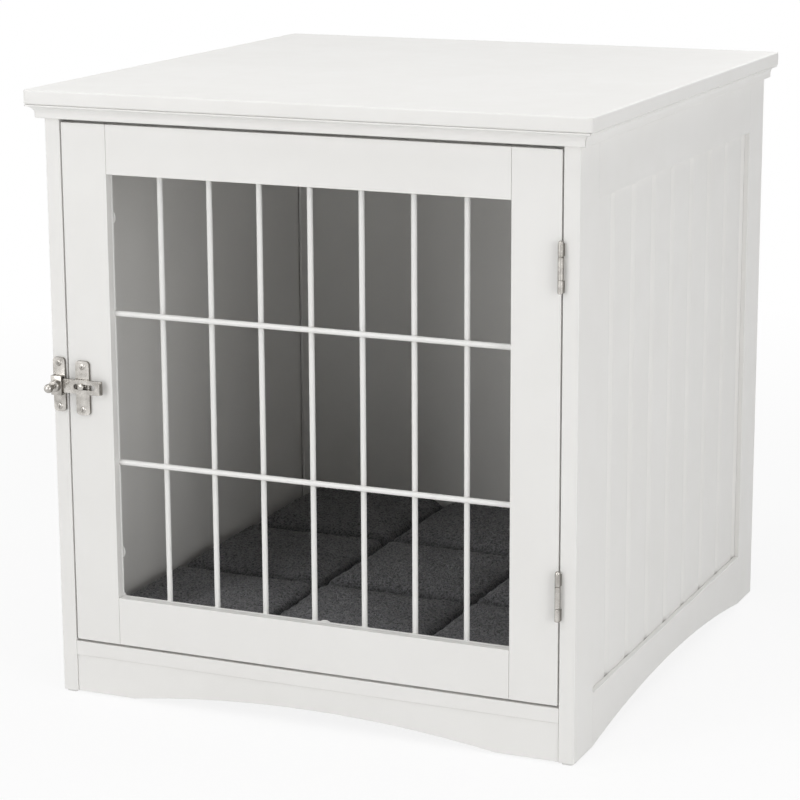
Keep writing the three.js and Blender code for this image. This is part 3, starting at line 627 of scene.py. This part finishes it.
BARREL_RADIUS = 2.3 * MM
BARREL_EASE = 0.3 * MM
KNUCKLE_BORE = 1.35 * MM
KNUCKLE_GAP = 0.3 * MM
LEAF_THICKNESS = 0.6 * MM
LEAF_EASE = 0.12 * MM
LEAF_SETBACK = 0.1 * MM
LEAF_NECK_LAP = 0.5 * MM
LEAF_NECK_EASE = 0.1 * MM
END_KNUCKLE = 10 * MM
PIN_SHANK = 1.2 * MM
PIN_HEAD = 1.8 * MM
DOME_STEPS = 5


def knuckle(bm, axis_point, bottom, top, bore, sides=40):
    """Adds one rolled knuckle, open down its middle."""
    section = [(BARREL_RADIUS - BARREL_EASE, bottom), (BARREL_RADIUS, bottom + BARREL_EASE),
               (BARREL_RADIUS, top - BARREL_EASE), (BARREL_RADIUS - BARREL_EASE, top),
               (bore, top), (bore, bottom)]
    rings = []
    for radius, z in section:
        turns = [2 * math.pi * k / sides for k in range(sides)]
        rings.append([bm.verts.new((axis_point.x + radius * math.cos(turn),
                                    axis_point.y + radius * math.sin(turn), z)) for turn in turns])
    join_rings(bm, rings + rings[:1])


def hinge_leaf(which, side):
    """One pressed leaf: a flat plate, necks out of it, and the knuckles they roll into."""
    node = f"{which}_hinge_{side}_leaf"
    low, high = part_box(node)
    axis_point = middle_of(which + "_hinge_pin")
    whole_low, whole_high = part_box(which + "_hinge_cabinet_leaf")
    x0 = high.x - LEAF_THICKNESS if side == "cabinet" else low.x
    x1 = x0 + LEAF_THICKNESS
    plate_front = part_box("door_hinge_stile")[0].y + LEAF_SETBACK
    spans = [(whole_low.z, whole_low.z + END_KNUCKLE), (whole_high.z - END_KNUCKLE, whole_high.z)]
    if side == "door":
        spans = [(spans[0][1] + KNUCKLE_GAP, spans[1][0] - KNUCKLE_GAP)]
    bm = bmesh.new()
    soft_box(bm, Vector((x0, plate_front, low.z)), Vector((x1, high.y, high.z)), LEAF_EASE)
    for bottom, top in spans:
        knuckle(bm, axis_point, bottom, top, KNUCKLE_BORE)
        soft_box(bm, Vector((x0, axis_point.y, bottom + BARREL_EASE)),
                 Vector((x1, plate_front + LEAF_NECK_LAP, top - BARREL_EASE)), LEAF_NECK_EASE)
    stands_for(shaded(from_bmesh(node + "_pressed", bm)), node)


def hinge_pin(which):
    """The pin, with a low domed head on the barrel."""
    node = which + "_hinge_pin"
    low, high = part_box(node)
    length, head = high.z - low.z, 0.95 * BARREL_RADIUS
    under = length - PIN_HEAD
    profile = [(0, 0), (PIN_SHANK * 0.8, 0), (PIN_SHANK, 0.25 * MM), (PIN_SHANK, under),
               (head, under)]
    for k in range(1, DOME_STEPS + 1):
        turn = math.pi / 2 * k / DOME_STEPS
        profile.append((head * math.cos(turn) if k < DOME_STEPS else 0,
                        under + PIN_HEAD * math.sin(turn)))
    bm = bmesh.new()
    axis_point = middle_of(node)
    lathe(bm, profile, Vector((axis_point.x, axis_point.y, low.z)), "+Z", 32)
    stands_for(shaded(from_bmesh(node + "_turned", bm)), node)


def hinges():
    for which in ("upper", "lower"):
        hinge_leaf(which, "cabinet")
        hinge_leaf(which, "door")
        hinge_pin(which)


# ---------------------------------------------------------------- latch

BALL_RADIUS = 3.8 * MM
BALL_STEPS = 16
NECK_RADIUS = 2 * MM
NECK_LENGTH = 3.4 * MM
COLLAR_RADIUS = 4.8 * MM
COLLAR_HEIGHT = 5 * MM
COLLAR_CHAMFER = 1.1 * MM
KNOB_SHANK = 1.7 * MM
POST_FOOT = 1.4 * MM
POST_COLLAR = 3.4 * MM
POST_SHANK = 1.9 * MM
POST_HEAD = 2.9 * MM
POST_HEAD_HEIGHT = 1.6 * MM


def knob():
    """Turned knob: shank, thick collar, neck and ball."""
    low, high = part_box("latch_knob")
    spot = middle_of("latch_knob")
    length = high.y - low.y
    ball = length - BALL_RADIUS
    collar_top = ball - BALL_RADIUS * 0.8 - NECK_LENGTH
    collar_back = collar_top - COLLAR_HEIGHT
    profile = softened([
        (0, 0), (KNOB_SHANK, 0), (KNOB_SHANK, collar_back), (COLLAR_RADIUS, collar_back),
        (COLLAR_RADIUS, collar_top - COLLAR_CHAMFER), (COLLAR_RADIUS * 0.72, collar_top),
        (NECK_RADIUS, collar_top), (NECK_RADIUS, ball - BALL_RADIUS * 0.9)], 0.4 * MM)
    start = math.asin(NECK_RADIUS / BALL_RADIUS)
    for k in range(BALL_STEPS + 1):
        turn = start + (math.pi - start) * k / BALL_STEPS
        profile.append((BALL_RADIUS * math.sin(turn) if k < BALL_STEPS else 0,
                        ball - BALL_RADIUS * math.cos(turn)))
    bm = bmesh.new()
    lathe(bm, profile, Vector((spot.x, high.y, spot.z)), "-Y")
    stands_for(shaded(from_bmesh("latch_knob_turned", bm)), "latch_knob")


def post():
    """Headed post that the slotted bar slides on."""
    low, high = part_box("latch_post")
    spot = middle_of("latch_post")
    plate_face = high.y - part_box("latch_door_plate")[0].y + 0.15 * MM
    shoulder = high.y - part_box("latch_bar")[1].y - 0.25 * MM
    length = high.y - low.y
    under_head = length - POST_HEAD_HEIGHT
    profile = softened([
        (0, 0), (POST_FOOT, 0), (POST_FOOT, plate_face), (POST_COLLAR, plate_face),
        (POST_COLLAR, shoulder), (POST_SHANK, shoulder), (POST_SHANK, under_head),
        (POST_HEAD, under_head), (POST_HEAD, length - 0.7 * MM), (2.1 * MM, length - 0.15 * MM),
        (0.9 * MM, length), (0, length)], 0.2 * MM)
    bm = bmesh.new()
    lathe(bm, profile, Vector((spot.x, high.y, spot.z)), "-Y")
    stands_for(shaded(from_bmesh("latch_post_turned", bm)), "latch_post")


# ---------------------------------------------------------------- mat

CELLS = 3
COARSE = 60
FINE = 300
SPREAD = Vector((1.5, 1.8, 0)) * MM
RIM_HEIGHT = 12 * MM
SEAM_HEIGHT = 15 * MM
START_HEIGHT = 20.5 * MM
SIDE_DRAW_IN = 1.5 * MM
SCALLOP = 1.2 * MM
CORNER_TUCK = 3 * MM
RIM_ROUND = 8 * MM
CELL_ROUND = 17 * MM
CHANNEL_DEPTH = 9 * MM
CHANNEL_REACH = 2 * MM
# Reach of the channel darkening: pile pressed flat, with painted shade.
CRUSH_AND_SHADE_REACH = 3 * MM
CROSS_CHANNEL = 2.2  # how much wider the channels are that run from side to side
SEAM_WANDER = 1.5 * MM
RIM_FADE = 10 * MM
UNDER_STEPS = 5
UNDER_TUCK = 6 * MM
PILE_RISE = 0.8 * MM
PILE_SHIFT = 0.8 * MM
PILE_SEED = 11
CLUMP_RISE = 0.9 * MM
SAG_RISE = 1.1 * MM
PRESSURE = 4.0
SIM_FRAMES = 20
SIM_CAP = 3.5 * MM
NO_LENGTH = 1e-9


def round_over(distance, radius):
    """Height, 0 to 1, of a quarter-round edge at a distance from it."""
    return np.sqrt(1 - (1 - np.clip(distance / radius, 0, 1)) ** 2)


def pad_places(steps, half):
    """Grid places s and t, -1 to 1, and distances to the rim and to the sewn channels."""
    line = np.linspace(-1, 1, steps + 1)
    s, t = np.meshgrid(line, line, indexing="ij")
    to_rim = np.minimum((1 - np.abs(s)) * half.x, (1 - np.abs(t)) * half.y)
    channels = [2 * k / CELLS - 1 for k in range(1, CELLS)]
    across = np.min([np.abs(s - c) for c in channels], axis=0) * half.x
    along = np.min([np.abs(t - c) for c in channels], axis=0) * half.y
    return s, t, to_rim, across, along


def unfilled_pad(low, high):
    """Top and bottom of the pad before filling, as coarse grids of points that share a rim."""
    middle, half = (low + high) / 2, (high - low) / 2
    s, t, to_rim, across, along = pad_places(COARSE, half)

    def draw_in(u):
        puffs = np.abs(np.sin(CELLS * np.pi * (u + 1) / 2))
        return SIDE_DRAW_IN * (1 - u ** 2) + SCALLOP * (1 - puffs)

    tuck = CORNER_TUCK * np.abs(s * t) ** 10
    x = middle.x + s * (half.x - np.abs(s) * draw_in(t) - tuck)
    y = middle.y + t * (half.y - np.abs(t) * draw_in(s) - tuck)
    puff = round_over(np.minimum(across, along), CELL_ROUND) * round_over(to_rim, RIM_ROUND)
    top = (RIM_HEIGHT + (SEAM_HEIGHT - RIM_HEIGHT) * round_over(to_rim, RIM_ROUND / 2)
           + (START_HEIGHT - SEAM_HEIGHT) * puff)
    bottom = RIM_HEIGHT * (1 - round_over(to_rim, RIM_ROUND))
    return np.stack((x, y, low.z + top), -1), np.stack((x, y, low.z + bottom), -1)


def pad_mesh(top, bottom):
    """The closed coarse pad, and the vertices that are held in it: channels, rim and underside."""
    side = COARSE + 1
    points = [tuple(p) for p in top.reshape(-1, 3)]
    under = {}
    for i in range(side):
        for j in range(side):
            on_rim = i in (0, COARSE) or j in (0, COARSE)
            under[i, j] = i * side + j if on_rim else len(points)
            if not on_rim:
                points.append(tuple(bottom[i, j]))
    faces = []
    for i in range(COARSE):
        for j in range(COARSE):
            ring = ((i, j), (i + 1, j), (i + 1, j + 1), (i, j + 1))
            faces.append([a * side + b for a, b in ring])
            faces.append([under[c] for c in reversed(ring)])
    mesh = bpy.data.meshes.new("pad")
    mesh.from_pydata(points, [], faces)
    cell = COARSE // CELLS
    sewn = [i * side + j for i in range(side) for j in range(side)
            if i % cell == 0 or j % cell == 0]
    return mesh, sewn + [k for k in under.values() if k >= side * side]


def add_cloth(pad):
    """Sets the cloth solver up: a light, stiff cover that is blown up from inside."""
    cloth = pad.modifiers.new("cloth", "CLOTH")
    settings = cloth.settings
    settings.quality = 6
    settings.mass = 0.3
    settings.use_pressure = True
    settings.uniform_pressure_force = PRESSURE
    settings.effector_weights.gravity = 0
    settings.vertex_group_mass = "held"
    settings.tension_stiffness = 12
    settings.compression_stiffness = 12
    settings.shear_stiffness = 4
    settings.bending_stiffness = 0.4
    cloth.collision_settings.use_collision = False
    cloth.point_cache.frame_start = 1
    cloth.point_cache.frame_end = SIM_FRAMES


def filled_pad(top, bottom):
    """Swells the pad with the cloth solver; no point moves further than SIM_CAP."""
    mesh, held = pad_mesh(top, bottom)
    pad = link_mesh("pad", mesh)
    pad.vertex_groups.new(name="held").add(held, 1.0, "REPLACE")
    add_cloth(pad)
    for number in range(1, SIM_FRAMES + 1):
        bpy.context.scene.frame_set(number)
    result = pad.evaluated_get(bpy.context.evaluated_depsgraph_get()).data
    flat = np.zeros(len(result.vertices) * 3)
    result.vertices.foreach_get("co", flat)
    bpy.context.scene.frame_set(1)
    bpy.data.objects.remove(pad)
    step = flat.reshape(-1, 3)[:top.size // 3].reshape(top.shape) - top
    length = np.linalg.norm(step, axis=-1, keepdims=True)
    return top + step * np.minimum(1, SIM_CAP / np.maximum(length, NO_LENGTH))


def finer_weights(coarse, fine):
    """Catmull-Rom weights that carry coarse rows to fine rows."""
    weights = np.zeros((fine + 1, coarse + 1))
    for row, place in enumerate(np.linspace(0, coarse, fine + 1)):
        start = min(int(place), coarse - 1)
        t = place - start
        shares = (-0.5 * t ** 3 + t ** 2 - 0.5 * t, 1.5 * t ** 3 - 2.5 * t ** 2 + 1,
                  -1.5 * t ** 3 + 2 * t ** 2 + 0.5 * t, 0.5 * t ** 3 - 0.5 * t ** 2)
        for offset, share in zip((-1, 0, 1, 2), shares):
            weights[row, min(max(start + offset, 0), coarse)] += share
    return weights


def field(points, scale, seed):
    """Smooth noise over the pad, one value a point."""
    return np.array([[noise.noise((x * scale, y * scale, seed)) for x, y, _ in row]
                     for row in points])


def quilted_top(low, high):
    """The fine upper surface: filled cells, sewn channels, and clumps in its pile.
    Gives its points, and for each how much it is darkened in a sewn channel, 0 to 1: pile pressed
    flat, with painted shade."""
    top, bottom = unfilled_pad(low, high)
    top = filled_pad(top, bottom)
    weights = finer_weights(COARSE, FINE)
    fine = np.einsum("ai,ijk,bj->abk", weights, top, weights)
    half = (high - low) / 2
    _, _, to_rim, across, along = pad_places(FINE, half)
    wander = SEAM_WANDER * field(fine, scale=22, seed=5)
    seam = np.minimum(np.abs(across + wander), np.abs(along + wander) / CROSS_CHANNEL)
    inside = np.clip(to_rim / RIM_FADE, 0, 1)
    fine[..., 2] -= CHANNEL_DEPTH * np.exp(-seam / CHANNEL_REACH) * inside
    sag = field(fine, scale=14, seed=9) + 0.5 * field(fine, scale=40, seed=2)
    fine[..., 2] += SAG_RISE * sag * inside
    fine[..., 2] += CLUMP_RISE * field(fine, scale=190, seed=3) * (0.4 + 0.6 * inside)
    # Darkening along the sewn channels, fading towards the rim: pile pressed flat, with painted
    # shade.
    return fine, np.exp(-(seam / CRUSH_AND_SHADE_REACH) ** 2) * inside


def with_pile(fine, rng):
    """Lifts and shifts every point a little; gives the new points and their pile, 0 to 1."""
    lift = rng.random(fine.shape[:-1])
    shift = (rng.random(fine.shape[:-1] + (2,)) - 0.5) * PILE_SHIFT
    moved = fine.copy()
    moved[..., 2] += PILE_RISE * (2 * lift - 1)
    moved[..., :2] += shift
    return moved, lift


def add_sides(points, pile_lift_and_shade, faces, fine, low, high, rng):
    """Adds rings from the rim of the upper surface down to the floor, and closes the underside."""
    side = FINE + 1
    loop = ([(i, 0) for i in range(FINE)] + [(FINE, j) for j in range(FINE)]
            + [(i, FINE) for i in range(FINE, 0, -1)] + [(0, j) for j in range(FINE, 0, -1)])
    middle = (low + high) / 2
    ring = [i * side + j for i, j in loop]
    for step in range(1, UNDER_STEPS + 1):
        share = step / UNDER_STEPS
        inset = UNDER_TUCK * (1 - math.sqrt(1 - share ** 2))
        below = []
        for i, j in loop:
            x, y, z = fine[i, j]
            inward = Vector((middle.x - x, middle.y - y, 0)).normalized() * inset
            ruffle = (rng.random(2) - 0.5) * (PILE_SHIFT if step < UNDER_STEPS else 0)
            below.append(len(points))
            points.append((x + inward.x + ruffle[0], y + inward.y + ruffle[1],
                           z + (low.z - z) * share))
            pile_lift_and_shade.append(rng.random())
        for k, k2 in zip(range(len(ring)), [*range(1, len(ring)), 0]):
            faces.append([ring[k], below[k], below[k2], ring[k2]])
        ring = below
    faces.append(ring[::-1])


def mat():
    """The quilted mat: its upper surface, its tucked sides and a flat underside."""
    low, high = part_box("crate_mat")
    low.x -= SPREAD.x
    high += SPREAD
    rng = np.random.default_rng(PILE_SEED)
    fine, crush_and_seam_shade = quilted_top(low, high)
    fine, lift = with_pile(fine, rng)
    side = FINE + 1
    points = [tuple(p) for p in fine.reshape(-1, 3)]
    pile_lift_and_shade = list(lift.reshape(-1))
    faces = [[i * side + j, (i + 1) * side + j, (i + 1) * side + j + 1, i * side + j + 1]
             for i in range(FINE) for j in range(FINE)]
    add_sides(points, pile_lift_and_shade, faces, fine, low, high, rng)
    mesh = bpy.data.meshes.new("quilted_mat")
    mesh.from_pydata(points, [], faces)
    # Both attributes darken the plush. The first is painted shade in the pile's low points. The
    # second is pile pressed flat, with painted shade, in the sewn channels.
    flat = [*crush_and_seam_shade.reshape(-1), *[0.0] * (len(points) - crush_and_seam_shade.size)]
    for name, values in (("pile", pile_lift_and_shade), ("crush_and_seam_shade", flat)):
        mesh.attributes.new(name, "FLOAT", "POINT").data.foreach_set("value", values)
    bm = bmesh.new()
    bm.from_mesh(mesh)
    bmesh.ops.recalc_face_normals(bm, faces=bm.faces)
    bm.to_mesh(mesh)
    bm.free()
    mesh.polygons.foreach_set("use_smooth", [True] * len(mesh.polygons))
    piece = link_mesh("quilted_mat", mesh)
    stands_for(piece, "crate_mat")


# ---------------------------------------------------------------- floor and light

FLOOR_HALF = 12
FLOOR_WHITE = 0.86
FLOOR_WHITE_NEAR = 0.5
FLOOR_WHITE_FAR = 1.6
WORLD_LIGHT = 0.12
SOFTBOXES = (
    ("overhead_softbox", (0, -0.2, 2.6), 1.8, 29),
    ("front_left_softbox", (-1.2, -2.8, 0.8), 1.2, 19.5),
    ("near_left_softbox", (-0.8, -1.4, 1.4), 0.8, 5.5),
    ("front_right_softbox", (2.6, -1.6, 0.7), 1.2, 19),
    ("near_right_softbox", (1.8, -0.8, 1.2), 0.8, 5.8),
    ("back_right_softbox", (2.2, 1.2, 2.2), 1.6, 2.5),
    ("left_softbox", (-2.6, -0.4, 1.2), 1.6, 8),
    ("back_softbox", (0.3, 3.0, 1.5), 1.6, 14),
)
AIM = Vector((0, 0, 0.25))


def white_world():
    world = bpy.data.worlds.new("studio")
    bpy.context.scene.world = world
    world.use_nodes = True
    world.node_tree.nodes.clear()
    sky = ShaderTree(world.node_tree)
    dim, full = (sky.node("Background", {"Color": (1, 1, 1, 1), "Strength": strength})
                 for strength in (WORLD_LIGHT, 1.0))
    sky.node("OutputWorld", {"Surface": sky.mixed(sky.shows_background(), dim, full)})


def floor():
    """A floor that turns white away from the object, in what the camera and metal see."""
    bm = bmesh.new()
    bmesh.ops.create_grid(bm, x_segments=1, y_segments=1, size=FLOOR_HALF)
    sheet = from_bmesh("floor", bm)
    f = Finish("floor")
    f.wear(Base_Color=(0.93, 0.93, 0.93, 1), Roughness=0.9, Specular_IOR_Level=0.1)
    away = f.node("VectorMath", {0: f.place}, "Value", operation="LENGTH")
    share = f.shows_background() * f.between(
        away, FLOOR_WHITE_NEAR, FLOOR_WHITE_FAR, FLOOR_WHITE, 1.0)
    lit = f.mixed(share, Value(f, f.surface.outputs[0]), f.node("Emission", {}))
    f.feed(f.nodes["Material Output"], {"Surface": lit})
    sheet.data.materials.append(f.material)


def softboxes():
    for name, place, size, power in SOFTBOXES:
        light = bpy.data.lights.new(name, "AREA")
        light.shape = "SQUARE"
        light.size = size
        light.energy = power
        lamp = bpy.data.objects.new(name, light)
        lamp.location = place
        lamp.rotation_euler = (AIM - Vector(place)).to_track_quat("-Z", "Y").to_euler()
        bpy.context.scene.collection.objects.link(lamp)


def studio():
    bpy.context.scene.view_settings.view_transform = "Standard"
    white_world()
    floor()
    softboxes()


# ---------------------------------------------------------------- build

add_camera()
wood()
glides()
grille()
grille_screws()
hinges()
hinge_screws()
latch_plates()
latch_screws()
post()
knob()
mat()
studio()
